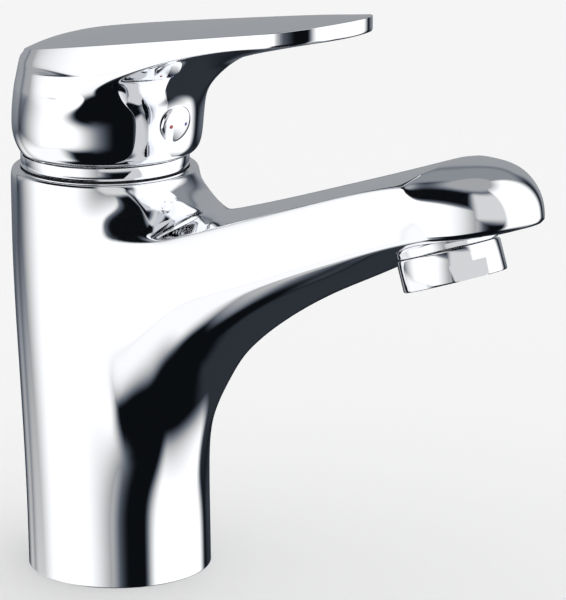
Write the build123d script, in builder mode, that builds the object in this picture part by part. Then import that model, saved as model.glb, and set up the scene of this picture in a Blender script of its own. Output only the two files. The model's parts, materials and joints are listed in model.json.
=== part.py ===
from build123d import *
from math import cos, radians, sin
import os

# Single-lever basin mixer. Millimetres, +Z up, the spout points along +X.
# The origin is the centre of the base's bottom face, where the tap stands on the basin.

# ---- driving dimensions -------------------------------------------------------------
BASE_R = 26.2            # foot of the cast column
TOP_R = 26.65            # rim of the cast column
BODY_TOP = 113.8         # height of the rim that the escutcheon ring sits over
AXIS_X = -4.2            # the column leans back: the cartridge's axis, behind the foot's centre

CAVITY_X, CAVITY_R = -1.0, 21.5        # open cavity in the foot, for the hoses
BLOCK_X, BLOCK_R = -2.0, 20.1          # brass block brazed in at the cavity's head
CAVITY_TOP = 58.0
FLOOR_Z = 74.0           # floor of the cartridge chamber
CHAMBER_R = 20.2
NUT_THREAD_R = 22.45     # M45 thread at the top of the chamber
NUT_THREAD_Z = 103.5

INLET_Y = 8.4            # hot and cold inlets, either side of the middle
INLET_X = AXIS_X + 4.2
INLET_THREAD_R = 4.6     # M10 x 1, drawn at its core
INLET_THREAD_TOP = 67.0
INLET_PORT_R = 2.8
STUD_X = -16.5           # M8 fixing stud, behind the inlets
STUD_R = 4.0
STUD_TOP = 66.0
GALLERY_IN, GALLERY_OUT = 13.4, 17.0   # ring-shaped gallery that takes mixed water to the front
GALLERY_Z = 69.0
WATERWAY_R = 4.6

OUTLET_X, OUTLET_Z = 122.8, 112.7      # middle of the outlet's face, under the spout
OUTLET_TILT = 19.0                     # the outlet leans forward from straight down
OUTLET_BOSS_R = 13.4
AERATOR_THREAD_R = 12.0                # M24 x 1
AERATOR_THREAD_L = 7.4
COLLAR_R = 13.75
COLLAR_L = 8.6

HANDLE_Z = 119.5         # bottom edge of the handle
LEVER_RISE = 10.0        # the lever's top climbs this many degrees from back to tip
CROWN_R = 73.4           # crown across the handle's top
RIDGE_Z = 155.6          # height of the crown's ridge over the origin
PIVOT_Z = 98.5           # stem's cross pin
CRANK = 7.0              # from the pin down to the stem's ball
STEM = 8.0               # square of the lever stem
PLUG_X, PLUG_Z = 23.2, 131.0
PLUG_TILT = 12.0
PLUG_R = 5.4
SLIP = 0.05              # running clearance

axis_bottom = Plane(origin=(AXIS_X, 0, 0), z_dir=(0, 0, 1))
outlet = Plane(
    origin=(OUTLET_X, 0, OUTLET_Z),
    x_dir=(0, 1, 0),
    z_dir=(sin(radians(OUTLET_TILT)), 0, -cos(radians(OUTLET_TILT))),
)
plug_face = Plane(
    origin=(PLUG_X, 0, PLUG_Z),
    x_dir=(0, 1, 0),
    z_dir=(cos(radians(PLUG_TILT)), 0, -sin(radians(PLUG_TILT))),
)


def on_axis(z):
    """Plane across the cartridge's axis, at a height."""
    return axis_bottom.offset(z)


def tube(z_low, z_high, r_out, r_in):
    """A plain round sleeve on the cartridge's axis, added to the piece being built."""
    with BuildSketch(on_axis(z_low)) as band:
        Circle(r_out)
        Circle(r_in, mode=Mode.SUBTRACT)
    extrude(band.sketch, amount=z_high - z_low)


def rod(plane, radius, length, mode=Mode.ADD):
    """A round rod, or a round hole, standing on a plane."""
    with BuildSketch(plane) as disc:
        Circle(radius)
    extrude(disc.sketch, amount=length, mode=mode)


def slab_section(x, top_half, z_edge, z_ridge, low_half, z_low, z_keel):
    """Cross-section of the spout or the lever at x: crowned top, flat sides, rounded keel."""
    with BuildSketch(Plane.YZ.offset(x)) as section:
        with BuildLine():
            ThreePointArc((-top_half, z_edge), (0, z_ridge), (top_half, z_edge))
            Line((top_half, z_edge), (low_half, z_low))
            EllipticalCenterArc((0, z_low), low_half, z_low - z_keel, 180, arc_size=180)
            Line((-low_half, z_low), (-top_half, z_edge))
        make_face()
    return section.sketch


# ---- body: one brass casting, column and spout --------------------------------------
# height, how far the section's centre leans back, radius
COLUMN = [
    (0.0, 0.0, BASE_R),
    (24.0, -0.45, 26.25),
    (46.0, -1.55, 26.4),
    (68.0, -3.1, 26.5),
    (90.0, -4.15, 26.6),
    (BODY_TOP, AXIS_X, TOP_R),
]
# x, half width of the top, height of its edge and ridge, half width, height and keel of the side's foot
SPOUT = [
    (4.0, 17.0, 98.0, 102.0, 23.0, 78.0, 14.0),
    (18.0, 17.0, 99.5, 104.5, 21.8, 79.0, 22.0),
    (27.0, 17.0, 101.0, 106.4, 20.6, 80.0, 34.0),
    (34.0, 18.2, 102.2, 107.8, 19.8, 81.5, 54.0),
    (46.0, 19.0, 106.3, 111.6, 19.0, 86.5, 68.0),
    (62.0, 19.2, 112.0, 116.4, 18.8, 93.6, 82.0),
    (82.0, 19.4, 119.2, 122.9, 18.6, 101.6, 92.8),
    (102.0, 19.6, 126.2, 129.4, 18.6, 109.3, 101.6),
    (111.0, 19.3, 129.4, 133.2, 18.8, 112.8, 109.6),
    (123.0, 19.2, 132.2, 135.8, 18.8, 117.0, 114.2),
    (132.0, 17.8, 132.0, 136.6, 18.2, 119.9, 117.2),
    (140.0, 15.6, 130.2, 135.8, 16.0, 121.2, 119.6),
    (145.2, 12.6, 127.6, 132.4, 13.0, 122.2, 120.8),
    (148.4, 9.4, 125.4, 128.4, 9.8, 122.5, 121.5),
    (150.0, 6.6, 123.4, 124.6, 8.0, 122.5, 121.9),
]
# the casting is hollow along the spout, with walls of 3 to 4 mm, and so carries the mixed water
HOLLOW = [
    (21.0, 12.0, 94.0, 98.0, 15.5, 82.0, 62.0),
    (27.0, 13.0, 97.0, 102.0, 16.6, 81.0, 60.0),
    (34.0, 14.4, 98.8, 104.0, 16.2, 83.0, 62.0),
    (46.0, 15.2, 102.8, 107.8, 15.4, 88.0, 72.5),
    (62.0, 15.4, 108.4, 112.6, 15.2, 95.0, 86.2),
    (82.0, 15.6, 115.6, 119.2, 15.0, 103.2, 97.0),
    (102.0, 15.6, 122.2, 125.4, 15.0, 111.6, 106.2),
    (112.0, 14.6, 124.6, 128.4, 14.6, 119.4, 118.0),
    (124.0, 11.0, 125.8, 131.0, 12.0, 122.6, 121.8),
]
NECK_HALF = 14.0
WATERWAY_L = 15.0
gallery_mouth = Plane(origin=(AXIS_X + GALLERY_IN, 0, GALLERY_Z), z_dir=(1, 0, 0))

with BuildPart() as body:
    for z, lean, radius in COLUMN:
        with BuildSketch(Plane.XY.offset(z)):
            with Locations((lean, 0)):
                Circle(radius)
    loft()
    loft([slab_section(*station) for station in SPOUT])
    # scooped neck between the rim and the spout's top
    with BuildSketch(Plane.XZ):
        with BuildLine():
            Polyline((AXIS_X, BODY_TOP), (20.4, BODY_TOP))
            ThreePointArc((20.4, BODY_TOP), (27.0, 109.6), (40.0, 109.0))
            Polyline((40.0, 109.0), (30.0, 84.0), (AXIS_X, 84.0), (AXIS_X, BODY_TOP))
        make_face()
    extrude(amount=NECK_HALF, both=True)
    rod(outlet.offset(-14), OUTLET_BOSS_R, 14)
    # foot's cavity, and the seat of the inlet block
    with BuildSketch(Plane.XY):
        with Locations((CAVITY_X, 0)):
            Circle(CAVITY_R)
    extrude(amount=CAVITY_TOP, mode=Mode.SUBTRACT)
    block_seat = Plane(origin=(BLOCK_X, 0, CAVITY_TOP), z_dir=(0, 0, 1))
    rod(block_seat, BLOCK_R, FLOOR_Z - CAVITY_TOP + 0.2, Mode.SUBTRACT)
    with BuildSketch(Plane.XY):
        Circle(25.2)
        Circle(23.2, mode=Mode.SUBTRACT)
    extrude(amount=2.5, mode=Mode.SUBTRACT)
    # cartridge chamber and its nut thread
    rod(on_axis(FLOOR_Z), CHAMBER_R, BODY_TOP - FLOOR_Z, Mode.SUBTRACT)
    rod(on_axis(NUT_THREAD_Z), NUT_THREAD_R, BODY_TOP - NUT_THREAD_Z, Mode.SUBTRACT)
    # passage from the gallery, the hollow spout, and the outlet's thread
    rod(gallery_mouth, WATERWAY_R, WATERWAY_L, Mode.SUBTRACT)
    loft([slab_section(*station) for station in HOLLOW], mode=Mode.SUBTRACT)
    rod(outlet.offset(-11), 9.4, 11, Mode.SUBTRACT)
    rod(outlet.offset(-AERATOR_THREAD_L), AERATOR_THREAD_R, AERATOR_THREAD_L + 3, Mode.SUBTRACT)
body.part.label = "body"

# ---- inlet block: floor of the cartridge chamber, with the inlets and the stud hole ---
with BuildPart() as inlet_block:
    rod(block_seat, BLOCK_R, FLOOR_Z - CAVITY_TOP)
    with BuildSketch(Plane.XY.offset(CAVITY_TOP)):
        with Locations((INLET_X, INLET_Y), (INLET_X, -INLET_Y)):
            Circle(INLET_THREAD_R)
    extrude(amount=INLET_THREAD_TOP - CAVITY_TOP, mode=Mode.SUBTRACT)
    with BuildSketch(Plane.XY.offset(CAVITY_TOP)):
        with Locations((INLET_X, INLET_Y), (INLET_X, -INLET_Y)):
            Circle(INLET_PORT_R)
    extrude(amount=FLOOR_Z - CAVITY_TOP, mode=Mode.SUBTRACT)
    rod(Plane(origin=(STUD_X, 0, CAVITY_TOP), z_dir=(0, 0, 1)), STUD_R, STUD_TOP - CAVITY_TOP, Mode.SUBTRACT)
    # ring-shaped gallery that leads the mixed water to the front
    with BuildSketch(on_axis(GALLERY_Z)):
        Circle(GALLERY_OUT)
        Circle(GALLERY_IN, mode=Mode.SUBTRACT)
        with Locations((-9.5, 0)):
            Rectangle(14, 6.4)
    extrude(amount=FLOOR_Z - GALLERY_Z, mode=Mode.SUBTRACT)
    rod(gallery_mouth, WATERWAY_R, WATERWAY_L, Mode.SUBTRACT)
inlet_block.part.label = "inlet_block"

# ---- base seal: rubber ring in a groove of the foot ----------------------------------
with BuildPart() as base_seal:
    with BuildSketch(Plane.XY):
        Circle(25.15)
        Circle(23.25, mode=Mode.SUBTRACT)
    extrude(amount=2.45)
base_seal.part.label = "base_seal"

# ---- cartridge: fixed pieces ---------------------------------------------------------
BASE_Z, DISC_Z = FLOOR_Z + 0.4, 80.0          # foot of the cartridge, and its fixed disc
DISC_TOP = 84.5
HOUSING_R = 19.95
SHOULDER_Z = NUT_THREAD_Z
HOUSING_TOP = 109.0
DISC_BORE_R = 17.3
ROTOR_BORE_R = 15.0
ROTOR_Z = 94.9
PORTS = [(4.2, INLET_Y), (4.2, -INLET_Y)]
OUTLET_PORT = (-2.6, 0)
SEAL_H = 1.2

with BuildPart() as cartridge_base:
    with BuildSketch(on_axis(BASE_Z)):
        Circle(HOUSING_R)
    extrude(amount=DISC_Z - 2 - BASE_Z)
    rod(on_axis(DISC_Z - 2), DISC_BORE_R - SLIP, 2)
    with BuildSketch(on_axis(BASE_Z)):
        with Locations(*PORTS):
            Circle(INLET_PORT_R)
        with Locations(OUTLET_PORT):
            Circle(3.2)
    extrude(amount=DISC_Z - BASE_Z, mode=Mode.SUBTRACT)
    with BuildSketch(on_axis(BASE_Z)):
        with Locations(*PORTS):
            Circle(4.6)
    extrude(amount=SEAL_H - 0.4, mode=Mode.SUBTRACT)
cartridge_base.part.label = "cartridge_base"

with BuildPart() as inlet_seals:
    with BuildSketch(on_axis(FLOOR_Z)):
        with Locations(*PORTS):
            Circle(4.5)
            Circle(3.0, mode=Mode.SUBTRACT)
    extrude(amount=SEAL_H)
inlet_seals.part.label = "inlet_seals"

with BuildPart() as chamber_o_ring:
    tube(FLOOR_Z, FLOOR_Z + 0.4, CHAMBER_R - 0.05, 19.65)
chamber_o_ring.part.label = "chamber_o_ring"

with BuildPart() as fixed_disc:
    rod(on_axis(DISC_Z), DISC_BORE_R - SLIP, DISC_TOP - DISC_Z)
    with BuildSketch(on_axis(DISC_Z)):
        with Locations(*PORTS):
            Circle(INLET_PORT_R)
        with Locations(OUTLET_PORT):
            Circle(3.2)
    extrude(amount=DISC_TOP - DISC_Z, mode=Mode.SUBTRACT)
fixed_disc.part.label = "fixed_disc"

with BuildPart() as cartridge_housing:
    rod(on_axis(DISC_Z - 2), HOUSING_R, SHOULDER_Z - DISC_Z + 2)
    rod(on_axis(SHOULDER_Z), 16.9, HOUSING_TOP - SHOULDER_Z)
    rod(on_axis(DISC_Z - 2), DISC_BORE_R, ROTOR_Z - 0.1 - DISC_Z + 2, Mode.SUBTRACT)
    rod(on_axis(DISC_Z), ROTOR_BORE_R, 26.3, Mode.SUBTRACT)
    rod(on_axis(DISC_Z), 12.6, 40, Mode.SUBTRACT)
    # stop lug for the limit ring
    with BuildSketch(on_axis(HOUSING_TOP)):
        with Locations((-15.6, 0)):
            Rectangle(1.8, 4)
    extrude(amount=2.0)
cartridge_housing.part.label = "cartridge_housing"

with BuildPart() as cartridge_nut:
    tube(SHOULDER_Z, 111.0, NUT_THREAD_R - SLIP, 17.3)
    with BuildSketch(on_axis(111.0)):
        RegularPolygon(21.9, 6)
        Circle(17.3, mode=Mode.SUBTRACT)
    extrude(amount=6.2)
cartridge_nut.part.label = "cartridge_nut"

# ---- escutcheon ring and the rubber ring under it -------------------------------------
RING_R = 23.66
RING_Z, RING_TOP = 115.4, 118.95

with BuildPart() as escutcheon_ring:
    tube(RING_Z, RING_TOP, RING_R, 22.2)
    tube(RING_TOP - 1.4, RING_TOP, 23.0, 18.6)
    fillet(escutcheon_ring.edges().filter_by(GeomType.CIRCLE).group_by(SortBy.RADIUS)[-1], 0.45)
escutcheon_ring.part.label = "escutcheon_ring"

with BuildPart() as ring_o_ring:
    tube(BODY_TOP, RING_Z, 23.15, 22.4)
ring_o_ring.part.label = "ring_o_ring"

# ---- cartridge: the pieces that turn ---------------------------------------------------
with BuildPart() as rotor:
    rod(on_axis(ROTOR_Z), ROTOR_BORE_R - SLIP, 106.0 - ROTOR_Z)
    rod(on_axis(106.0), 12.2, 6.0)
    with BuildSketch(on_axis(ROTOR_Z)):
        with Locations((-1.7, 0)):
            Rectangle(16.6, STEM + 0.6)
    extrude(amount=20, mode=Mode.SUBTRACT)
    rod(Plane(origin=(AXIS_X, -16, PIVOT_Z), z_dir=(0, 1, 0)), 2.0, 32, Mode.SUBTRACT)
rotor.part.label = "rotor"

with BuildPart() as stem_pin:
    rod(Plane(origin=(AXIS_X, -14, PIVOT_Z), z_dir=(0, 1, 0)), 2.0, 28)
stem_pin.part.label = "stem_pin"

with BuildPart() as hot_limit_ring:
    tube(HOUSING_TOP + 0.3, 111.6, 14.2, 12.2)
    # two teeth that meet the housing's lug at full hot and full cold
    with BuildSketch(on_axis(HOUSING_TOP + 0.3)):
        with PolarLocations(15.2, 2, start_angle=180 - 62, angular_range=124, endpoint=True):
            Rectangle(2.4, 3.0)
    extrude(amount=1.6)
hot_limit_ring.part.label = "hot_limit_ring"

# ---- cartridge: the pieces that slide ----------------------------------------------------
BALL_Z = PIVOT_Z - CRANK
BALL_R = 3.0
with BuildPart() as moving_disc:
    rod(on_axis(DISC_TOP + SLIP), 14.0, 3.5)
    rod(on_axis(DISC_TOP + SLIP), 6.3, 2.0, Mode.SUBTRACT)
moving_disc.part.label = "moving_disc"

with BuildPart() as disc_carrier:
    rod(on_axis(DISC_TOP + SLIP + 3.5), 14.0, 5.7)
    with BuildSketch(on_axis(DISC_TOP + SLIP + 3.9)):
        Rectangle(2 * (BALL_R + 0.08), 9)
    extrude(amount=8, mode=Mode.SUBTRACT)
disc_carrier.part.label = "disc_carrier"

# ---- lever stem ---------------------------------------------------------------------------
STEM_TOP = 141.0
with BuildPart() as lever_stem:
    with BuildSketch(on_axis(PIVOT_Z - 2.9)):
        Rectangle(STEM, STEM)
    extrude(amount=STEM_TOP - PIVOT_Z + 2.9)
    rod(on_axis(BALL_Z), 2.2, PIVOT_Z - 2.5 - BALL_Z)
    with Locations((AXIS_X, 0, BALL_Z)):
        Sphere(BALL_R)
    rod(Plane(origin=(AXIS_X, -16, PIVOT_Z), z_dir=(0, 1, 0)), 2.0 + SLIP, 32, Mode.SUBTRACT)
lever_stem.part.label = "lever_stem"

# ---- handle: hollow cap and lever, one zinc casting -----------------------------------------
# height, how far the section's centre sits ahead of the axis, radius
HUB = [
    (HANDLE_Z, 1.2, 26.0),
    (122.4, 0.6, 26.9),
    (127.0, 0.3, 27.3),
    (140.0, 2.2, 26.2),
    (164.0, 6.0, 23.5),
]
LEVER = [
    (AXIS_X, 22.4, 151.2, 154.6, 22.0, 142.0, 128.0),
    (10.0, 22.4, 153.8, 157.1, 22.0, 144.5, 131.0),
    (20.0, 22.3, 155.5, 158.7, 21.6, 148.4, 137.0),
    (30.0, 21.9, 157.3, 160.4, 21.0, 151.2, 144.0),
    (46.0, 21.0, 160.1, 162.9, 20.4, 156.0, 151.2),
    (62.0, 20.1, 162.9, 165.5, 19.4, 159.2, 155.6),
    (76.0, 19.2, 165.4, 167.6, 18.6, 161.6, 159.6),
    (82.0, 15.6, 166.4, 168.2, 15.0, 162.3, 161.0),
    (86.0, 10.0, 167.1, 168.4, 9.6, 163.0, 162.2),
    (88.0, 4.6, 167.5, 168.1, 4.4, 163.6, 163.1),
]
rise = radians(LEVER_RISE)

with BuildPart() as handle:
    for z, ahead, radius in HUB:
        with BuildSketch(on_axis(z)):
            with Locations((ahead, 0)):
                Circle(radius)
    loft()
    # the crowned top is a slice of one large drum that climbs with the lever
    drum = Plane(
        origin=(-80 + CROWN_R * sin(rise), 0, RIDGE_Z - 80 * sin(rise) / cos(rise) - CROWN_R * cos(rise)),
        x_dir=(0, 1, 0),
        z_dir=(cos(rise), 0, sin(rise)),
    )
    rod(drum, CROWN_R, 200, Mode.INTERSECT)
    loft([slab_section(*station) for station in LEVER])
    # hollow underneath, a flare of room for the ring as the back edge dips
    with BuildSketch(on_axis(HANDLE_Z - 1)):
        Circle(23.95)
    with BuildSketch(on_axis(127)):
        Circle(23.6)
    with BuildSketch(on_axis(146)):
        Circle(18.5)
    loft(mode=Mode.SUBTRACT)
    with BuildSketch(Plane.XZ):
        with BuildLine():
            Polyline(
                (AXIS_X - 6, HANDLE_Z - 2), (AXIS_X - 6, HANDLE_Z), (AXIS_X - 32, HANDLE_Z + 2.6),
                (AXIS_X - 32, HANDLE_Z - 2), (AXIS_X - 6, HANDLE_Z - 2),
            )
        make_face()
    extrude(amount=40, both=True, mode=Mode.SUBTRACT)
    # socket for the stem, and the rib that carries the grub screw
    rod(on_axis(124.5), 8.2, 23)
    with BuildSketch(Plane.XZ):
        with BuildLine():
            Polyline((AXIS_X, 125.0), (18.0, 123.5), (22.0, 123.5), (22.0, 146.0), (AXIS_X, 147.0), (AXIS_X, 125.0))
        make_face()
    extrude(amount=5.5, both=True)
    with BuildSketch(on_axis(120)):
        Rectangle(STEM + 0.06, STEM + 0.06)
    extrude(amount=STEM_TOP + 0.3 - 120, mode=Mode.SUBTRACT)
    # plug's seat, its clip hole and the screw's thread
    rod(plug_face.offset(-1.4), PLUG_R + 0.35, 12, Mode.SUBTRACT)
    rod(plug_face.offset(-9), 3.1, 12, Mode.SUBTRACT)
    rod(plug_face.offset(-24), 2.5, 24, Mode.SUBTRACT)
handle.part.label = "handle"

# ---- grub screw: M5 with a hexagon socket ------------------------------------------------
SCREW_IN, SCREW_L = 23.2, 8.6
with BuildPart() as handle_grub_screw:
    rod(plug_face.offset(-SCREW_IN), 2.5, SCREW_L)
    with BuildSketch(plug_face.offset(-SCREW_IN + 5.5)):
        RegularPolygon(1.45, 6)
    extrude(amount=SCREW_L, mode=Mode.SUBTRACT)
    chamfer(handle_grub_screw.edges().sort_by(Axis.X)[0], 0.5)
handle_grub_screw.part.label = "handle_grub_screw"

# ---- index plug, with its hot and cold marks -----------------------------------------------
MARK_R = 0.75
MARK_OUT = 2.6
with BuildPart() as index_plug:
    rod(plug_face.offset(-1.35), PLUG_R, 2.2)
    fillet(index_plug.edges().filter_by(GeomType.CIRCLE).sort_by(Axis.X)[-1], 0.8)
    rod(plug_face.offset(-6.5), 3.05, 5.2)
    with BuildSketch(plug_face.offset(0.35)):
        with Locations((-MARK_OUT, 0), (MARK_OUT, 0)):
            Circle(MARK_R)
    extrude(amount=2, mode=Mode.SUBTRACT)
index_plug.part.label = "index_plug"

marks = {}
for mark_name, side in (("hot_mark", -1), ("cold_mark", 1)):
    with BuildPart() as mark:
        with BuildSketch(plug_face.offset(0.35)):
            with Locations((side * MARK_OUT, 0)):
                Circle(MARK_R)
        extrude(amount=0.5)
    mark.part.label = mark_name
    marks[mark_name] = mark.part

# ---- aerator ---------------------------------------------------------------------------------
FLAT_HALF = 12.9
with BuildPart() as aerator_collar:
    rod(outlet, COLLAR_R, COLLAR_L)
    fillet(aerator_collar.edges().filter_by(GeomType.CIRCLE), 0.5)
    rod(outlet.offset(-5.6), AERATOR_THREAD_R - SLIP, 5.8)
    rod(outlet.offset(-6), 10.6, 20, Mode.SUBTRACT)
    # inner lip that holds the insert, and two flats for a spanner
    with BuildSketch(outlet.offset(COLLAR_L - 1.6)):
        Circle(10.8)
        Circle(9.6, mode=Mode.SUBTRACT)
    extrude(amount=1.2)
    with BuildSketch(outlet.offset(COLLAR_L / 2)):
        with Locations((FLAT_HALF + 3, 0), (-FLAT_HALF - 3, 0)):
            Rectangle(6, 40)
    extrude(amount=6, mode=Mode.SUBTRACT)
aerator_collar.part.label = "aerator_collar"

with BuildPart() as aerator_gasket:
    with BuildSketch(outlet.offset(-7.3)):
        Circle(11.9)
        Circle(8.6, mode=Mode.SUBTRACT)
    extrude(amount=1.7)
aerator_gasket.part.label = "aerator_gasket"

with BuildPart() as aerator_insert:
    with BuildSketch(outlet.offset(-5.55)):
        Circle(10.5)
        Circle(8.9, mode=Mode.SUBTRACT)
    extrude(amount=COLLAR_L - 1.7 + 5.55)
    rod(outlet.offset(-2), 8.9, 2)
    with BuildSketch(outlet.offset(-2)):
        with PolarLocations(6.2, 12):
            Circle(0.9)
        with PolarLocations(3.2, 6):
            Circle(0.9)
    extrude(amount=2, mode=Mode.SUBTRACT)
aerator_insert.part.label = "aerator_insert"

with BuildPart() as aerator_inlet_filter:
    rod(outlet.offset(-5.5), 8.85, 0.8)
    with BuildSketch(outlet.offset(-5.5)):
        with HexLocations(1.5, 6, 6):
            Circle(0.45)
    extrude(amount=0.8, mode=Mode.SUBTRACT)
aerator_inlet_filter.part.label = "aerator_inlet_filter"

with BuildPart() as aerator_grille:
    with BuildSketch(outlet.offset(COLLAR_L - 3.2)):
        Circle(8.85)
        with GridLocations(2.2, 2.2, 7, 7):
            Rectangle(1.7, 1.7, mode=Mode.SUBTRACT)
    extrude(amount=1.5)
    with BuildSketch(outlet.offset(COLLAR_L - 3.2)):
        Circle(8.85)
        Circle(8.0, mode=Mode.SUBTRACT)
    extrude(amount=1.5)
aerator_grille.part.label = "aerator_grille"

# ---- one STEP file for each piece -----------------------------------------------------------
os.makedirs("parts", exist_ok=True)
pieces = [
    body, inlet_block, base_seal, cartridge_base, inlet_seals, chamber_o_ring, fixed_disc,
    cartridge_housing, cartridge_nut, escutcheon_ring, ring_o_ring, rotor, stem_pin, hot_limit_ring, moving_disc,
    disc_carrier, lever_stem, handle, handle_grub_screw, index_plug, aerator_collar,
    aerator_gasket, aerator_insert, aerator_inlet_filter, aerator_grille,
]
for solid in [piece.part for piece in pieces] + list(marks.values()):
    export_step(solid, "parts/" + solid.label + ".step")
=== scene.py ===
import json
import math

import bmesh
import bpy
from mathutils import Matrix, Vector


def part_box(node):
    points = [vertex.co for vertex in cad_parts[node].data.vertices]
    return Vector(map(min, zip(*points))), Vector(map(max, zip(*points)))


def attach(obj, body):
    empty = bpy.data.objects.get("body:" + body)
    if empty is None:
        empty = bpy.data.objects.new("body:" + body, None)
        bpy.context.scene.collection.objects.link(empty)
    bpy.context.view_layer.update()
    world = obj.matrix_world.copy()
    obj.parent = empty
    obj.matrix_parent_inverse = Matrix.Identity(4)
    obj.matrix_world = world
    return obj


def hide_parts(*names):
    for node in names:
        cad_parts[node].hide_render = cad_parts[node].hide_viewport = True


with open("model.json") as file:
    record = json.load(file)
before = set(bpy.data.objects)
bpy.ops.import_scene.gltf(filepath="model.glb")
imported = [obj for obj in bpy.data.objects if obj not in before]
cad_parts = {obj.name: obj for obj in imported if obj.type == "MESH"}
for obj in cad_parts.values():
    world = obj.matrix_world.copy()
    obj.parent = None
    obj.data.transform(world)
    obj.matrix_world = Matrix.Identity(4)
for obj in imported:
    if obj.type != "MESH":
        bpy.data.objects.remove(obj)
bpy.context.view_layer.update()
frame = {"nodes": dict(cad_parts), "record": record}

# ---- body ------------------------------------------------------------------------------
# One brass casting: a round column that leans back a little, and a sloping spout with a
# crowned top, flat sides, a hollowed underside and a blunt beak. It is cast round a sand
# core, ground along its edges, polished by hand and chrome-plated.
MM = 0.001
SEGMENTS = 32
SKIN_LEVELS = 3
ring_low, ring_high = (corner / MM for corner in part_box("escutcheon_ring"))
AXIS_X = (ring_low.x + ring_high.x) / 2      # the cartridge's axis
FOOT_R, RIM_R = 26.2, 26.65
RIM_Z = 115.2
LEAN = [(0, 0.0), (16, -0.3), (28, -0.66), (40, -1.2), (52, -2.0), (63.5, -2.8), (75, -3.6), (90, -4.2)]


def between(stops, at):
    """Reads a value off a line through stops."""
    for (low, first), (high, second) in zip(stops, stops[1:]):
        if at <= high:
            return first + (second - first) * max(at - low, 0) / (high - low)
    return stops[-1][1]


def column_ring(z):
    """The column's round section at a height."""
    radius = FOOT_R + (RIM_R - FOOT_R) * z / RIM_Z
    turn = 2 * math.pi / SEGMENTS
    middle = between(LEAN, z)
    return [Vector((middle + radius * math.cos(k * turn), radius * math.sin(k * turn), z))
            for k in range(SEGMENTS)]


def front_changed(ring, changed):
    """A ring with some of its front vertices elsewhere, the same on both sides."""
    for k, (x, y, z) in changed.items():
        ring[k] = Vector((x, y, z))
        ring[-k] = Vector((x, -y, z))
    return ring


def both_sides(half):
    """A closed ring from its half, which runs from the top's middle to the keel's middle."""
    far = [Vector(place) for place in half]
    near = [Vector((x, -y, z)) for x, y, z in half[-2:0:-1]]
    return far + near


def start_ring(bm, places):
    """A closed ring of vertices, which the next rings grow from."""
    made = bmesh.ops.create_circle(bm, cap_ends=False, segments=len(places), radius=1.0)["verts"]
    for vertex, place in zip(made, places):
        vertex.co = place
    return made


def grow(bm, line, places, closed=True):
    """Extrudes a ring or an open line of vertices by one row, to new places."""
    pairs = list(zip(line, line[1:] + (line[:1] if closed else [])))
    fresh = bmesh.ops.extrude_edge_only(bm, edges=[bm.edges.get(pair) for pair in pairs])["geom"]
    fresh = {item for item in fresh if isinstance(item, bmesh.types.BMVert)}
    row = [next(edge.other_vert(v) for edge in v.link_edges if edge.other_vert(v) in fresh) for v in line]
    for vertex, place in zip(row, places):
        vertex.co = place
    return row


def weave(bm, lines):
    """Quads between lines of vertices that lie side by side."""
    for line, beside in zip(lines, lines[1:]):
        for a, b, c, d in zip(line, line[1:], beside[1:], beside):
            bm.faces.new((a, b, c, d))


def harden(bm, line, weights):
    """Keeps an edge line firm under subdivision: one weight, or one for each edge."""
    layer = bm.edges.layers.float.get("crease_edge") or bm.edges.layers.float.new("crease_edge")
    for number, pair in enumerate(zip(line, line[1:])):
        edge = bm.edges.get(pair)
        edge[layer] = weights[number] if isinstance(weights, (list, tuple)) else weights


bm = bmesh.new()
rows = {"foot": start_ring(bm, column_ring(0.0))}
line = grow(bm, rows["foot"], column_ring(0.9))
harden(bm, rows["foot"] + rows["foot"][:1], 0.7)
line = grow(bm, line, column_ring(14.0))
line = grow(bm, line, front_changed(column_ring(27.0), {0: (26.1, 0, 25.0), 1: (25.5, 5.2, 25.4)}))
rows["keel"] = grow(bm, line, front_changed(column_ring(52.0), {
    0: (29.0, 0, 40.0), 1: (28.3, 5.6, 41.5), 2: (26.4, 10.9, 45.0), 3: (22.6, 15.6, 50.0),
    4: (17.6, 19.4, 54.0), 5: (12.6, 21.9, 54.0),
}))
rows["flank"] = grow(bm, rows["keel"], front_changed(column_ring(74.0), {
    4: (19.0, 21.4, 76.0), 5: (12.2, 23.2, 75.0), 6: (5.8, 24.8, 74.4),
}))
rows["ledge"] = grow(bm, rows["flank"], front_changed(column_ring(92.0), {
    4: (20.6, 22.6, 96.6), 5: (12.6, 24.4, 94.4), 6: (5.6, 25.5, 93.0), 7: (0.8, 26.2, 92.2),
}))
rows["neck low"] = grow(bm, rows["ledge"], front_changed(column_ring(102.5), {
    0: (30.0, 0, 109.9), 1: (29.8, 5.0, 109.3), 2: (29.3, 10.1, 107.9), 3: (28.3, 14.7, 105.4),
    4: (17.9, 20.0, 102.6), 5: (11.4, 22.3, 102.5),
}))
rows["neck"] = grow(bm, rows["neck low"], front_changed(column_ring(108.6), {
    0: (25.2, 0, 111.8), 1: (25.0, 4.7, 111.4), 2: (24.6, 9.3, 110.8), 3: (23.6, 13.6, 109.8),
}))
SHOULDER_Z = RIM_Z - 1.0
FRONT_STEP = math.radians(10.5)
rim = column_ring(SHOULDER_Z)
for k in range(4):
    angle = k * FRONT_STEP
    place = (AXIS_X + RIM_R * math.cos(angle), RIM_R * math.sin(angle), SHOULDER_Z)
    front_changed(rim, {k: place})
line = grow(bm, rows["neck"], rim)
rows["rim"] = line
# over the rounded lip and down the chamber's wall: share of the rim's radius, height, crease
CHAMBER = [(0.972, RIM_Z, 0.0), (0.895, RIM_Z, 0.8), (0.89, RIM_Z - 2.0, 0.0), (0.86, 76.0, 0.0)]
for share, z, crease in CHAMBER:
    line = grow(bm, line, [Vector((AXIS_X + (p.x - AXIS_X) * share, p.y * share, z)) for p in rim])
    harden(bm, line + line[:1], crease)
bm.faces.new(line)

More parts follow.
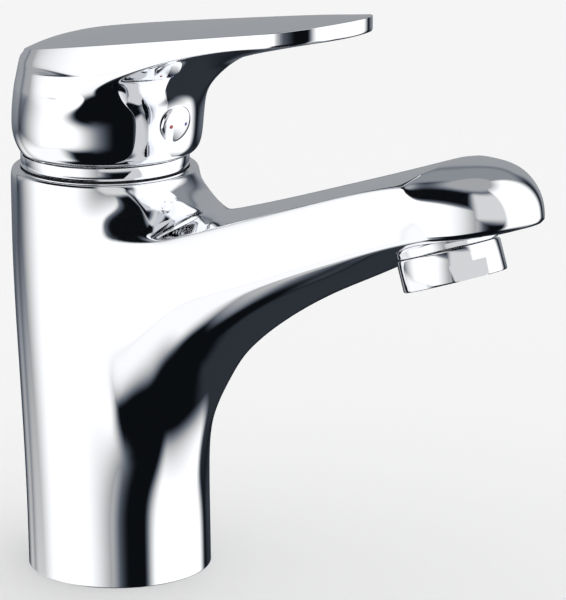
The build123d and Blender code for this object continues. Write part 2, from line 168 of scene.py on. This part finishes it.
# the front of the column opens into the spout
inside = [rows[name][k] for name in ("flank", "ledge") for k in range(-3, 4)]
bmesh.ops.delete(bm, geom=inside, context="VERTS")
loop = [rows["neck low"][k] for k in (0, 1, 2, 3, 4)]
loop += [rows["ledge"][4], rows["flank"][4]]
loop += [rows["keel"][k] for k in (4, 3, 2, 1, 0, -1, -2, -3, -4)]
loop += [rows["flank"][-4], rows["ledge"][-4]]
loop += [rows["neck low"][k] for k in (-4, -3, -2, -1)]

EDGE_DROP = 0.8
SIDE_BULGE = 0.35
# x, half width, height of the top edge, crown, then the side's foot and the keel as (x, y, z)
STATIONS = [
    (34.5, 18.6, 102.5, 5.9, (33.0, 19.7, 78.0), (32.6, 16.6, 64.5), (32.2, 11.8, 56.0), (32.0, 6.0, 51.6),
     (31.9, 0, 50.0)),
    (46.0, 18.7, 106.4, 5.2, (46.0, 18.6, 86.8), (43.4, 15.0, 76.0), (41.6, 10.6, 69.4), (40.6, 5.5, 65.2),
     (40.4, 0, 63.6)),
    (62.0, 18.9, 112.1, 4.3, (63.0, 18.6, 93.4), (60.6, 15.4, 86.0), (58.4, 10.9, 81.8), (57.0, 5.6, 79.4),
     (56.6, 0, 78.6)),
    (82.0, 19.2, 119.2, 3.8, (84.0, 18.7, 102.2), (82.4, 15.6, 97.4), (80.6, 11.0, 94.6), (79.6, 5.6, 93.0),
     (79.2, 0, 92.4)),
    (102.0, 19.4, 126.2, 3.4, (106.0, 18.8, 110.8), (104.0, 15.8, 106.6), (102.6, 11.2, 104.0),
     (101.6, 5.6, 102.8), (101.2, 0, 102.2)),
    (116.0, 19.4, 130.6, 4.0, (121.0, 18.8, 116.4), (118.0, 15.8, 114.0), (115.6, 11.2, 112.6),
     (113.8, 5.6, 111.6), (113.0, 0, 111.2)),
]
edge_line = [rows["rim"][3], rows["neck"][3], rows["neck low"][3]]
near_edge_line = [rows["rim"][-3], rows["neck"][-3], rows["neck low"][-3]]
foot_line = [rows["keel"][4]]
near_foot_line = [rows["keel"][-4]]
for x, half, edge_z, crown, foot, *keel in STATIONS:
    foot = Vector(foot)
    top = []
    for part in (0.0, 1 / 3, 2 / 3):
        top.append((x + (1 - part ** 2) * 0.55 * crown, half * part, edge_z + crown * (1 - part ** 2)))
    top_edge = Vector((x, half, edge_z))
    shoulder = Vector((x + 0.1, half + SIDE_BULGE, edge_z - EDGE_DROP))
    side = [shoulder.lerp(foot, part) + Vector((0, SIDE_BULGE * (1 - part), 0)) for part in (0.3, 0.66)]
    loop = grow(bm, loop, both_sides(top + [top_edge, shoulder, *side, foot, *keel]))
    edge_line.append(loop[3])
    near_edge_line.append(loop[-3])
    foot_line.append(loop[7])
    near_foot_line.append(loop[-7])

# the beak: crease across the top, corners down the sides, rim underneath
BROW = [(126.6, 0, 137.6), (126.2, 6.8, 137.0), (125.4, 13.4, 135.3), (124.2, 19.2, 132.5)]
CORNER = [(124.8, 19.7, 131.6), (127.0, 19.8, 128.0), (129.6, 19.5, 124.0), (132.0, 18.6, 119.7)]
BEAK_RIM = [(138.6, 16.4, 120.6), (144.6, 12.6, 121.6), (149.4, 6.9, 122.5), (150.6, 0, 122.8)]
loop = grow(bm, loop, both_sides(BROW + CORNER + BEAK_RIM))
edge_line.append(loop[3])
near_edge_line.append(loop[-3])
foot_line.append(loop[7])
near_foot_line.append(loop[-7])
CHEEK = {
    0: [(141.6, 0, 138.2), (149.8, 0, 130.6)],
    1: [(140.2, 8.2, 137.2), (148.4, 8.0, 129.8)],
    2: [(135.4, 15.4, 134.4), (143.2, 14.6, 127.4)],
    3: [(128.4, 19.8, 129.8), (133.2, 18.7, 124.4)],
}
lines = [[loop[k] for k in (4, 5, 6, 7)]]
for k in (3, 2, 1, 0, -1, -2, -3):
    inner = []
    for x, y, z in CHEEK[abs(k)]:
        inner.append(bm.verts.new((x, math.copysign(y, k) if k else 0.0, z)))
    low = loop[11 - k]
    lines.append([loop[k], *inner, low])
lines.append([loop[k] for k in (-4, -5, -6, -7)])
weave(bm, lines)

EDGE_CREASE = [0.6, 0.6] + [0.62] * (len(STATIONS) + 1)
harden(bm, edge_line, EDGE_CREASE)
harden(bm, near_edge_line, EDGE_CREASE)
FOOT_CREASE = [0.0, 0.2, 0.35, 0.42, 0.45, 0.5, 0.55]
harden(bm, foot_line, FOOT_CREASE)
harden(bm, near_foot_line, FOOT_CREASE)
brow = [loop[k] for k in (-4, -3, -2, -1, 0, 1, 2, 3, 4)]
harden(bm, brow, [0.75, 0.7, 0.6, 0.45, 0.45, 0.6, 0.7, 0.75])
CORNER_CREASE, RIM_CREASE = 0.75, 0.5
harden(bm, [loop[k] for k in range(3, 8)], CORNER_CREASE)
harden(bm, [loop[-k] for k in range(3, 8)], CORNER_CREASE)
harden(bm, [loop[k] for k in range(7, 16)], RIM_CREASE)

# the foot's underside and the cavity that the hoses come up through
CAVITY_X, CAVITY_R, CAVITY_TOP = -1.0, 21.4, 74.6
turns = [2 * math.pi * k / SEGMENTS for k in range(SEGMENTS)]
line = rows["foot"]
CAVITY = [(0.0, CAVITY_R, 0.9), (57.0, CAVITY_R, 0.0), (58.5, 20.7, 0.0), (CAVITY_TOP, 20.7, 0.0)]
for z, radius, crease in CAVITY:
    line = grow(bm, line, [Vector((CAVITY_X + radius * math.cos(t), radius * math.sin(t), z)) for t in turns])
    harden(bm, line + line[:1], crease)
bm.faces.new(line)


class Wire:
    """A value of a shader: Python's operators on it add Math nodes."""

    def __init__(self, tree, socket):
        self.tree = tree
        self.socket = socket

    def maths(self, operation, other):
        return draw_node(self.tree, "ShaderNodeMath", {"operation": operation}, {0: self, 1: other})

    def __add__(self, other):
        return self.maths("ADD", other)

    def __mul__(self, other):
        return self.maths("MULTIPLY", other)

    def __rsub__(self, other):
        return draw_node(self.tree, "ShaderNodeMath", {"operation": "SUBTRACT"}, {0: other, 1: self})

    def power(self, other):
        return self.maths("POWER", other)

    __radd__ = __add__
    __rmul__ = __mul__


def draw_node(tree, kind, settings=(), inputs=(), output=0):
    """Adds one node, sets it, joins its inputs, and gives back one output."""
    node = tree.nodes.new(kind)
    for name, value in dict(settings).items():
        setattr(node, name, value)
    for name, value in dict(inputs).items():
        if isinstance(value, Wire):
            tree.links.new(value.socket, node.inputs[name])
        else:
            node.inputs[name].default_value = value
    return Wire(tree, node.outputs[output])


def start_material(name, **constants):
    """A new material with its main shader; numbers that don't vary go on its own sockets."""
    material = bpy.data.materials.new(name)
    material.use_nodes = True
    tree = material.node_tree
    shader = tree.nodes["Principled BSDF"]
    for socket, value in constants.items():
        shader.inputs[socket.replace("_", " ")].default_value = value
    place = draw_node(tree, "ShaderNodeTexCoord", output="Object")
    return material, tree, shader, place


CHROME = (0.93, 0.94, 0.965)
CLOUDED = 0.965          # the darker patches' share of the chrome's colour
CHROME_ROUGHNESS = 0.018


def polished_chrome(name, haze, waves):
    """Chrome plate, with a haze of wiping marks and long shallow waves from the polishing."""
    material, tree, shader, place = start_material(name, Metallic=1.0, IOR=1.5)
    wiping = draw_node(tree, "ShaderNodeTexNoise", {}, {"Vector": place, "Scale": 90.0, "Detail": 5.0,
                                                      "Roughness": 0.65, "Distortion": 1.5})
    cloud = draw_node(tree, "ShaderNodeTexNoise", {}, {"Vector": place, "Scale": 28.0, "Detail": 2.0})
    deeper = tuple(CLOUDED * part for part in CHROME)
    colour = draw_node(tree, "ShaderNodeMix", {"data_type": "RGBA"},
                       {"Factor": cloud, 6: (*deeper, 1), 7: (*CHROME, 1)}, output=2)
    tree.links.new(colour.socket, shader.inputs["Base Color"])
    roughness = wiping.power(3.0) * haze + CHROME_ROUGHNESS
    tree.links.new(roughness.socket, shader.inputs["Roughness"])
    swell = draw_node(tree, "ShaderNodeTexNoise", {}, {"Vector": place, "Scale": 34.0, "Detail": 1.0})
    bump = draw_node(tree, "ShaderNodeBump", {}, {"Height": swell, "Strength": 0.25, "Distance": waves * MM})
    tree.links.new(bump.socket, shader.inputs["Normal"])
    return material


def finish_piece(bm, name, material, body, nodes=(), levels=0, sharp=math.pi):
    """Makes the object, gives it its skin, body and slot, and hides the nodes it stands for."""
    bmesh.ops.recalc_face_normals(bm, faces=bm.faces)
    bmesh.ops.transform(bm, matrix=Matrix.Scale(MM, 4), verts=bm.verts)
    mesh = bpy.data.meshes.new(name)
    bm.to_mesh(mesh)
    bm.free()
    mesh.shade_smooth()
    mesh.set_sharp_from_angle(angle=sharp)
    piece = bpy.data.objects.new(name, mesh)
    bpy.context.scene.collection.objects.link(piece)
    piece.data.materials.append(material)
    if levels:
        skin = piece.modifiers.new("skin", "SUBSURF")
        skin.levels = levels
        skin.render_levels = levels
    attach(piece, body)
    if nodes:
        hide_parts(*nodes)
    return piece


cast_chrome = polished_chrome("polished chrome on castings", 0.05, 0.05)
finish_piece(bm, "body_casting", cast_chrome, "tap_body", ["body"], levels=SKIN_LEVELS)

# ---- handle -----------------------------------------------------------------------------
# A hollow zinc casting: a cap over the cartridge that sweeps forward into a flat lever with
# a crowned top. A grub screw behind the plug in its front holds it on the stem.
LEVER_SLOPE = 0.176
TOP_Z = 152.0
HANDLE_Z = 119.5
# the cap's rows: height, radius behind, radius in front
HUB = [(119.9, 24.3, 25.6), (121.8, 25.3, 27.2), (126.0, 26.3, 27.8), (132.5, 26.0, 28.3),
       (137.5, 25.4, 29.4)]
# how far each vertex, from the front's middle round to the back's, stands from the back's radius
FULLNESS = [1.0, 1.0, 0.95, 0.9, 0.9, 1.02, 0.86, 0.64, 0.4, 0.2, 0.08, 0.0, 0.0, 0.0, 0.0, 0.0, 0.0]


def hub_ring(z, back, front):
    """A section of the cap: round behind, fuller in front, with the widest point at the side of the front."""
    ring = []
    for k, t in enumerate(turns):
        radius = back + (front - back) * FULLNESS[min(k, SEGMENTS - k)]
        ring.append(Vector((AXIS_X + radius * math.cos(t), radius * math.sin(t), z)))
    return ring


LIP_START, LIP_SLOPE = 6.0, 0.08


def lip(ring):
    """The cap's bottom edge rises at the back, so that the lever can tip."""
    for place in ring:
        behind = max(0.0, AXIS_X - LIP_START - place.x)
        place.z += LIP_SLOPE * behind
    return ring


# outline of the lever from its tip round the side to the back: x and y of the top edge
OUTLINE = [(88.0, 0), (87.1, 7.0), (84.3, 13.8), (78.6, 19.2), (65.0, 20.1), (50.0, 20.9), (34.0, 21.8),
           (19.0, 22.5), (5.0, 22.8)]
BACK_R = 22.2
BULGE_FROM = 50.0        # the sides start to lean out behind this distance
for k in range(9, 17):
    angle = math.pi / 2 + (k - 8.6) * (math.pi / 2) / 7.4
    OUTLINE.append((AXIS_X + BACK_R * math.cos(angle), BACK_R * math.sin(angle)))


TOP_BEND, BACK_DROP = -14.0, 0.8


def top_height(x):
    """Height of the top's edge over the lever's length."""
    behind = max(0.0, (TOP_BEND - x) / (TOP_BEND - AXIS_X + BACK_R))
    return TOP_Z + LEVER_SLOPE * x - BACK_DROP * behind ** 2


def outlined(bulge, height_of):
    """A ring along the lever's outline, let out towards the back, at heights given by x."""
    half = []
    for x, y in OUTLINE:
        middle = Vector((max(x, AXIS_X), 0))
        grown = Vector((x, y)) - middle
        share = min(max((BULGE_FROM - x) / BULGE_FROM, 0), 1)
        place = middle + grown * (1 + bulge * share / max(grown.length, 1))
        half.append(Vector((place.x, place.y, height_of(x))))
    return half + [Vector((p.x, -p.y, p.z)) for p in half[-2:0:-1]]


# the sweep under the lever, from the cap's front to the foot of the lever's side
FOOT_Z = [(-26.5, 146.4), (-12.0, 146.2), (-4.0, 145.6), (5.0, 145.4), (19.0, 147.2), (34.0, 152.0),
          (50.0, 156.8), (65.0, 159.8), (78.6, 161.9), (88.0, 163.2)]
SWEEP = [
    {0: (27.8, 0, 141.2), 1: (27.9, 5.4, 141.6), 2: (27.4, 10.8, 142.4), 3: (25.4, 15.6, 142.8),
     4: (21.2, 19.8, 142.2), 5: (15.4, 23.3, 140.9), 6: (8.6, 25.3, 139.6), 7: (3.0, 26.2, 139.2)},
    {0: (33.0, 0, 146.4), 1: (33.4, 5.8, 146.8), 2: (33.4, 11.6, 147.6), 3: (31.8, 16.6, 147.9),
     4: (27.4, 20.3, 146.9), 5: (20.6, 23.0, 144.4), 6: (11.8, 24.8, 141.9), 7: (4.6, 25.7, 140.6)},
    {0: (45.6, 0, 152.0), 1: (45.6, 6.2, 152.4), 2: (45.0, 12.2, 153.0), 3: (42.6, 17.2, 153.1),
     4: (36.4, 20.5, 151.6), 5: (27.2, 22.7, 147.8), 6: (15.8, 24.3, 144.2), 7: (6.8, 25.2, 142.1)},
    {0: (63.0, 0, 156.8), 1: (62.6, 6.6, 157.0), 2: (61.0, 12.8, 157.3), 3: (56.8, 17.9, 157.3),
     4: (47.0, 20.6, 155.2), 5: (34.8, 22.3, 151.1), 6: (20.8, 23.7, 146.5), 7: (9.6, 24.7, 143.6)},
    {0: (79.6, 0, 161.0), 1: (78.6, 6.9, 161.0), 2: (76.0, 13.2, 160.9), 3: (70.2, 18.6, 160.4),
     4: (57.0, 20.5, 158.1), 5: (42.4, 21.8, 154.2), 6: (27.0, 23.0, 149.2), 7: (13.8, 24.1, 145.4)},
]
MOUTH_R = 23.95
LIP_TOP = 122.0
bm = bmesh.new()
mouth = [Vector((AXIS_X + MOUTH_R * math.cos(t), MOUTH_R * math.sin(t), HANDLE_Z)) for t in turns]
first = start_ring(bm, lip(mouth))
line = first
for z, back, front in HUB:
    ring = hub_ring(z, back, front)
    line = grow(bm, line, lip(ring) if z < LIP_TOP else ring)
# behind the sweep the rows go on round the cap: height, radius behind, radius in front
BEHIND = [(139.0, 25.1, 29.0), (140.4, 24.8, 28.6), (141.8, 24.5, 28.2), (143.2, 24.2, 27.8),
          (144.7, 23.9, 27.4)]
for changed, (z, back, front) in zip(SWEEP, BEHIND):
    line = grow(bm, line, front_changed(hub_ring(z, back, front), changed))
FOOT_BULGE, SHOULDER_BULGE, SHOULDER_DROP = 1.35, 0.2, 0.7
line = grow(bm, line, outlined(FOOT_BULGE, lambda x: between(FOOT_Z, x)))
foot_ring = line
line = grow(bm, line, outlined(SHOULDER_BULGE, lambda x: top_height(x) - SHOULDER_DROP))
edge_ring = line
line = grow(bm, line, outlined(0.0, top_height))
top_ring = line
TOP_CREASE = [0.5, 0.5, 0.55] + [0.62] * 8 + [0.5, 0.45, 0.4, 0.4, 0.4]
harden(bm, top_ring + top_ring[:1], TOP_CREASE + TOP_CREASE[::-1])
FOOT_CREASE = [0.5, 0.5, 0.5, 0.55, 0.5, 0.4, 0.25, 0.05] + [0.0] * 8
harden(bm, foot_ring + foot_ring[:1], FOOT_CREASE + FOOT_CREASE[::-1])
NOSE_CREASE = 0.45
for side in (3, -3):
    harden(bm, [foot_ring[side], edge_ring[side], top_ring[side]], NOSE_CREASE)
# crowned top, woven from side to side
CROWN = [(-26.0, 0.6), (-20.0, 2.2), (-10.0, 3.3), (10.0, 3.5), (60.0, 2.6), (78.0, 2.0), (88.0, 0.6)]
lines = []
for k in range(3, 14):
    x, y = OUTLINE[k]
    inner = []
    for part in (0.5, 0.0, -0.5):
        lift = between(CROWN, x) * (1 - part ** 2)
        inner.append(bm.verts.new((x, y * part, top_height(x) + lift)))
    lines.append([top_ring[k], *inner, top_ring[-k]])
nose_line = [top_ring[k] for k in (2, 1, 0, -1, -2)]
back_line = [top_ring[k] for k in range(14, 19)]
weave(bm, [nose_line, *lines, back_line])
# hollow underside
line = first
for z, radius in ((127.0, 23.6), (141.0, 19.6)):
    line = grow(bm, line, [Vector((AXIS_X + radius * math.cos(t), radius * math.sin(t), z)) for t in turns])
bm.faces.new(line)
finish_piece(bm, "lever_handle", cast_chrome, "lever", ["handle"], levels=SKIN_LEVELS)

# ---- escutcheon ring ------------------------------------------------------------------------
# A turned and chromed ring that hides the cartridge's nut, with a rounded top and bottom
# edge. It is pushed over the nut and sits on the rubber ring.
FINE = 96                # sides of a turned piece
RING_PROFILE = [(22.3, 115.4), (23.2, 115.4), (23.5, 115.52), (23.66, 115.8), (23.66, 118.9), (23.55, 119.15),
                (23.3, 119.25), (18.6, 119.25), (18.6, 117.6), (22.3, 117.6)]


def turn_piece(bm, profile, middle, axis, steps=FINE):
    """Spins a profile of (radius, distance along the axis) once round, as on a lathe."""
    across = axis.orthogonal().normalized()
    line = [bm.verts.new(middle + across * radius + axis * along) for radius, along in profile]
    edges = [bm.edges.new(pair) for pair in zip(line, line[1:])]
    bmesh.ops.spin(bm, geom=line + edges, cent=middle, axis=axis, angle=2 * math.pi, steps=steps,
                   use_merge=True)
    bmesh.ops.remove_doubles(bm, verts=bm.verts, dist=1e-4)


UP = Vector((0, 0, 1))
bm = bmesh.new()
turn_piece(bm, RING_PROFILE + RING_PROFILE[:1], Vector((AXIS_X, 0, 0)), UP)
turned_chrome = polished_chrome("polished chrome on turned parts", 0.035, 0.008)
finish_piece(bm, "ring", turned_chrome, "tap_body", ["escutcheon_ring"],
             sharp=math.radians(40))

# ---- outlet boss and aerator collar -----------------------------------------------------------
# The boss is part of the casting: a short flared cylinder that the aerator screws into. The
# collar is turned brass, chromed, with two spanner flats milled on its lower half.
OUTLET = Vector((122.8, 0, 112.7))
TILT = math.radians(19.0)
OUTLET_AXIS = Vector((math.sin(TILT), 0, -math.cos(TILT)))
BOSS_PROFILE = [(12.2, -0.1), (13.2, -0.1), (13.4, -0.3), (13.45, -1.0), (13.5, -2.6), (13.55, -4.2),
                (13.6, -5.6), (12.2, -5.6)]
bm = bmesh.new()
turn_piece(bm, BOSS_PROFILE + BOSS_PROFILE[:1], OUTLET, OUTLET_AXIS)
finish_piece(bm, "outlet_boss", cast_chrome, "tap_body", sharp=math.radians(40))

COLLAR_R, COLLAR_L, BORE_R = 13.75, 8.6, 10.65
FLAT_HALF, FLAT_TOP, FLAT_ANGLE = 12.75, 4.1, math.radians(-27.0)
COLLAR_PROFILE = [(BORE_R, 0.1), (13.25, 0.1), (13.6, 0.25), (COLLAR_R, 0.6), (COLLAR_R, FLAT_TOP),
                  (COLLAR_R, FLAT_TOP + 0.02), (COLLAR_R, COLLAR_L - 0.5), (13.6, COLLAR_L - 0.15),
                  (13.3, COLLAR_L), (BORE_R, COLLAR_L)]
bm = bmesh.new()
turn_piece(bm, COLLAR_PROFILE + COLLAR_PROFILE[:1], OUTLET, OUTLET_AXIS, steps=180)
side = Vector((math.cos(TILT), 0, math.sin(TILT)))
flat_way = side * math.cos(FLAT_ANGLE) + Vector((0, 1, 0)) * math.sin(FLAT_ANGLE)
for vertex in bm.verts:
    place = vertex.co - OUTLET
    if place.dot(OUTLET_AXIS) > FLAT_TOP + 0.01:
        for way in (flat_way, -flat_way):
            over = place.dot(way) - FLAT_HALF
            if over > 0:
                vertex.co -= way * over
finish_piece(bm, "collar", turned_chrome, "tap_body", ["aerator_collar"],
             sharp=math.radians(25))

# ---- index plug -----------------------------------------------------------------------------
# A chromed plastic button, slightly domed, clipped into the hole over the grub screw. Its
# marks are two drops of enamel, red for hot and blue for cold.
PLUG_TILT = math.radians(12.0)
PLUG_AXIS = Vector((math.cos(PLUG_TILT), 0, -math.sin(PLUG_TILT)))
PLUG_MIDDLE = Vector((23.2, 0, 131.0))
PLUG_R, PLUG_OUT = 5.4, 0.85
PLUG_SEAT = 1.2


def plug_dome(radius):
    """How far the button's face stands out, at a distance from its middle."""
    return PLUG_SEAT + PLUG_OUT - 0.9 * (radius / PLUG_R) ** 2


plug_profile = [(0.0, plug_dome(0))] + [(r, plug_dome(r)) for r in (0.9, 1.9, 3.0, 4.0, 4.8)]
plug_profile += [(5.15, plug_dome(5.15) - 0.1), (PLUG_R, plug_dome(PLUG_R) - 0.35), (PLUG_R, 0.4), (0.0, 0.4)]
bm = bmesh.new()
turn_piece(bm, plug_profile, PLUG_MIDDLE, PLUG_AXIS)
finish_piece(bm, "plug", turned_chrome, "lever", ["index_plug"], sharp=math.radians(50))

MARK_OUT, MARK_R = 2.7, 0.62
for node, sign, slot, colour in (("hot_mark", -1, "red_plastic", (0.55, 0.04, 0.03)),
                                 ("cold_mark", 1, "blue_plastic", (0.05, 0.08, 0.36))):
    enamel, tree, shader, place = start_material(slot.replace("plastic", "enamel"), Coat_Weight=0.6)
    fleck = draw_node(tree, "ShaderNodeTexNoise", {}, {"Vector": place, "Scale": 1500.0, "Detail": 2.0})
    paler = tuple(0.8 * part + 0.06 for part in colour)
    mixed = draw_node(tree, "ShaderNodeMix", {"data_type": "RGBA"},
                      {"Factor": fleck, 6: (*colour, 1), 7: (*paler, 1)}, output=2)
    tree.links.new(mixed.socket, shader.inputs["Base Color"])
    tree.links.new((fleck * 0.1 + 0.2).socket, shader.inputs["Roughness"])
    bm = bmesh.new()
    out = plug_dome(MARK_OUT)
    drop = [(0.0, out + 0.14), (0.3, out + 0.12), (0.52, out + 0.05), (MARK_R, out - 0.08), (0.0, out - 0.08)]
    turn_piece(bm, drop, PLUG_MIDDLE + Vector((0, sign * MARK_OUT, 0)), PLUG_AXIS, steps=32)
    finish_piece(bm, node + "_drop", enamel, "lever", [node], sharp=math.radians(60))

# ---- rubber, brass, steel, ceramic and plastics inside ----------------------------------------
# The seals are moulded nitrile rubber, the nut and inlet block turned brass, the pins and the
# stem drawn steel, the discs lapped alumina, and the cartridge and aerator moulded plastics.


def plain_finish(name, colours, roughness, grain, depth, **constants):
    """A finish with two near colours clouded together, an uneven sheen and a fine grain."""
    material, tree, shader, place = start_material(name, **constants)
    cloud = draw_node(tree, "ShaderNodeTexNoise", {}, {"Vector": place, "Scale": 60.0, "Detail": 4.0})
    fine = draw_node(tree, "ShaderNodeTexNoise", {}, {"Vector": place, "Scale": grain, "Detail": 3.0})
    mixed = draw_node(tree, "ShaderNodeMix", {"data_type": "RGBA"},
                      {"Factor": cloud, 6: (*colours[0], 1), 7: (*colours[1], 1)}, output=2)
    tree.links.new(mixed.socket, shader.inputs["Base Color"])
    sheen = fine * (roughness[1] - roughness[0]) + roughness[0]
    tree.links.new(sheen.socket, shader.inputs["Roughness"])
    bump = draw_node(tree, "ShaderNodeBump", {}, {"Height": fine, "Strength": 0.5, "Distance": depth * MM})
    tree.links.new(bump.socket, shader.inputs["Normal"])
    return material


FINISHES = {
    "rubber": plain_finish("nitrile rubber", [(0.012, 0.012, 0.013), (0.024, 0.024, 0.026)],
                           (0.5, 0.7), 900, 0.02),
    "brass": plain_finish("turned brass", [(0.74, 0.55, 0.24), (0.8, 0.62, 0.3)],
                          (0.22, 0.38), 700, 0.01, Metallic=1.0),
    "steel": plain_finish("drawn steel", [(0.56, 0.56, 0.57), (0.64, 0.64, 0.66)],
                          (0.25, 0.4), 800, 0.01, Metallic=1.0),
    "ceramic": plain_finish("lapped alumina", [(0.84, 0.83, 0.78), (0.9, 0.89, 0.85)],
                            (0.12, 0.2), 1200, 0.004),
    "white_plastic": plain_finish("white acetal", [(0.76, 0.77, 0.77), (0.83, 0.84, 0.84)],
                                  (0.35, 0.5), 1100, 0.01),
    "grey_plastic": plain_finish("grey acetal", [(0.3, 0.31, 0.33), (0.36, 0.37, 0.39)],
                                 (0.35, 0.5), 1100, 0.01),
    "red_plastic": plain_finish("red acetal", [(0.42, 0.03, 0.02), (0.5, 0.05, 0.03)],
                                (0.3, 0.45), 1100, 0.01),
}
shown_by_pieces = {"body", "handle", "escutcheon_ring", "aerator_collar", "index_plug", "hot_mark",
                   "cold_mark"}
for part in frame["record"]["subparts"]:
    if part["node"] not in shown_by_pieces:
        node = frame["nodes"][part["node"]]
        for slot in node.material_slots:
            slot.material = FINISHES[part["material_slot"]]

# ---- floor, light and camera ---------------------------------------------------------------
# A plain pale floor in even white light. Mirror rays alone see the studio's soft panels, white
# and dark, and they don't see the floor, so the polished metal shows the panels only.
mesh = bpy.data.meshes.new("floor")
bm = bmesh.new()
bmesh.ops.create_grid(bm, x_segments=1, y_segments=1, size=6.0)
bm.to_mesh(mesh)
bm.free()
floor = bpy.data.objects.new("floor", mesh)
bpy.context.scene.collection.objects.link(floor)
pale, tree, shader, place = start_material("pale floor", Roughness=0.9)
shader.inputs["Base Color"].default_value = (0.93, 0.93, 0.93, 1)
floor.data.materials.append(pale)
floor.visible_glossy = False

world = bpy.data.worlds.new("studio")
bpy.context.scene.world = world
world.use_nodes = True
tree = world.node_tree
direction = draw_node(tree, "ShaderNodeTexCoord", output="Generated")
split = draw_node(tree, "ShaderNodeSeparateXYZ", {}, {0: direction})
x_part, y_part, z_part = (Wire(tree, split.socket.node.outputs[k]) for k in range(3))
around = y_part.maths("ARCTAN2", x_part) * math.degrees(1)
height = draw_node(tree, "ShaderNodeMath", {"operation": "ARCSINE"}, {0: z_part}) * math.degrees(1)


def step(value, low, high):
    """0 below the low mark, 1 above the high one, smooth between."""
    return draw_node(tree, "ShaderNodeMapRange", {"interpolation_type": "SMOOTHSTEP"},
                     {"Value": value, "From Min": low, "From Max": high})


def panel(left, right, low, high, side_blur, edge_blur):
    """A soft-edged lamp or card: where it stands around the tap and how high, in degrees."""
    across = step(around, left - side_blur, left + side_blur) * (
        1 - step(around, right - side_blur, right + side_blur))
    up = step(height, low - edge_blur, low + edge_blur) * (
        1 - step(height, high - edge_blur, high + edge_blur))
    return across * up


# lamps and cards that the chrome shows: (left, right, low, high, side blur, edge blur), brightness
LAMPS = [
    ((-155, -62, -26, 23, 30, 4), 1.2),
    ((-178, -100, -54, -20, 14, 6), 1.05),
    ((-4, 84, -40, 70, 9, 14), 1.2),
    ((-60, -46, -24, 5, 8, 8), 0.45),
    ((-112, -50, 6, 26, 12, 6), 0.32),
    ((-56, 4, 0, 62, 8, 8), 0.7),
    ((100, 181, -13, 34, 8, 9), 0.36),
    ((-181, -150, -8, 40, 8, 9), 0.4),
    ((60, 180, 30, 80, 14, 12), 0.3),
    ((-190, 190, 66, 100, 1, 8), 0.4),
    ((70, 150, -75, -22, 12, 8), 0.035),
    ((-181, -140, -62, -18, 14, 8), 1.0),
    ((160, 181, -62, -18, 14, 8), 1.0),
]
glow = None
for place, brightness in LAMPS:
    lamp = panel(*place) * brightness
    glow = lamp if glow is None else glow.maths("MAXIMUM", lamp)
# the studio's dark sides are faintly blue, and its lamps white
COOL, WHITE, COOL_FADE = (0.62, 0.76, 1.0, 1), (1, 1, 1, 1), 2.2
DARKEST = 0.006
shine = glow + DARKEST
cool = draw_node(tree, "ShaderNodeMix", {"data_type": "RGBA"},
                 {"Factor": shine * COOL_FADE, 6: COOL, 7: WHITE}, output=2)
seen = draw_node(tree, "ShaderNodeVectorMath", {"operation": "SCALE"}, {0: cool, "Scale": shine})
ray = draw_node(tree, "ShaderNodeLightPath", output="Is Glossy Ray")
plain = draw_node(tree, "ShaderNodeMix", {"data_type": "RGBA"},
                  {"Factor": ray, 6: WHITE, 7: seen}, output=2)
background = tree.nodes["Background"]
tree.links.new(plain.socket, background.inputs["Color"])
background.inputs["Strength"].default_value = 1.0
bpy.context.scene.view_settings.view_transform = "Standard"

camera_data = bpy.data.cameras.new("camera")
camera_data.lens = 227.2
camera_data.sensor_width = 36.0
camera_data.clip_start = 0.05
camera = bpy.data.objects.new("camera", camera_data)
bpy.context.scene.collection.objects.link(camera)
azimuth, pitch = math.radians(43.408), math.radians(14.812)
camera.location = (0.7426, -0.7171, 0.3494)
camera.rotation_euler = (math.pi / 2 - pitch, 0, azimuth)
bpy.context.scene.camera = camera
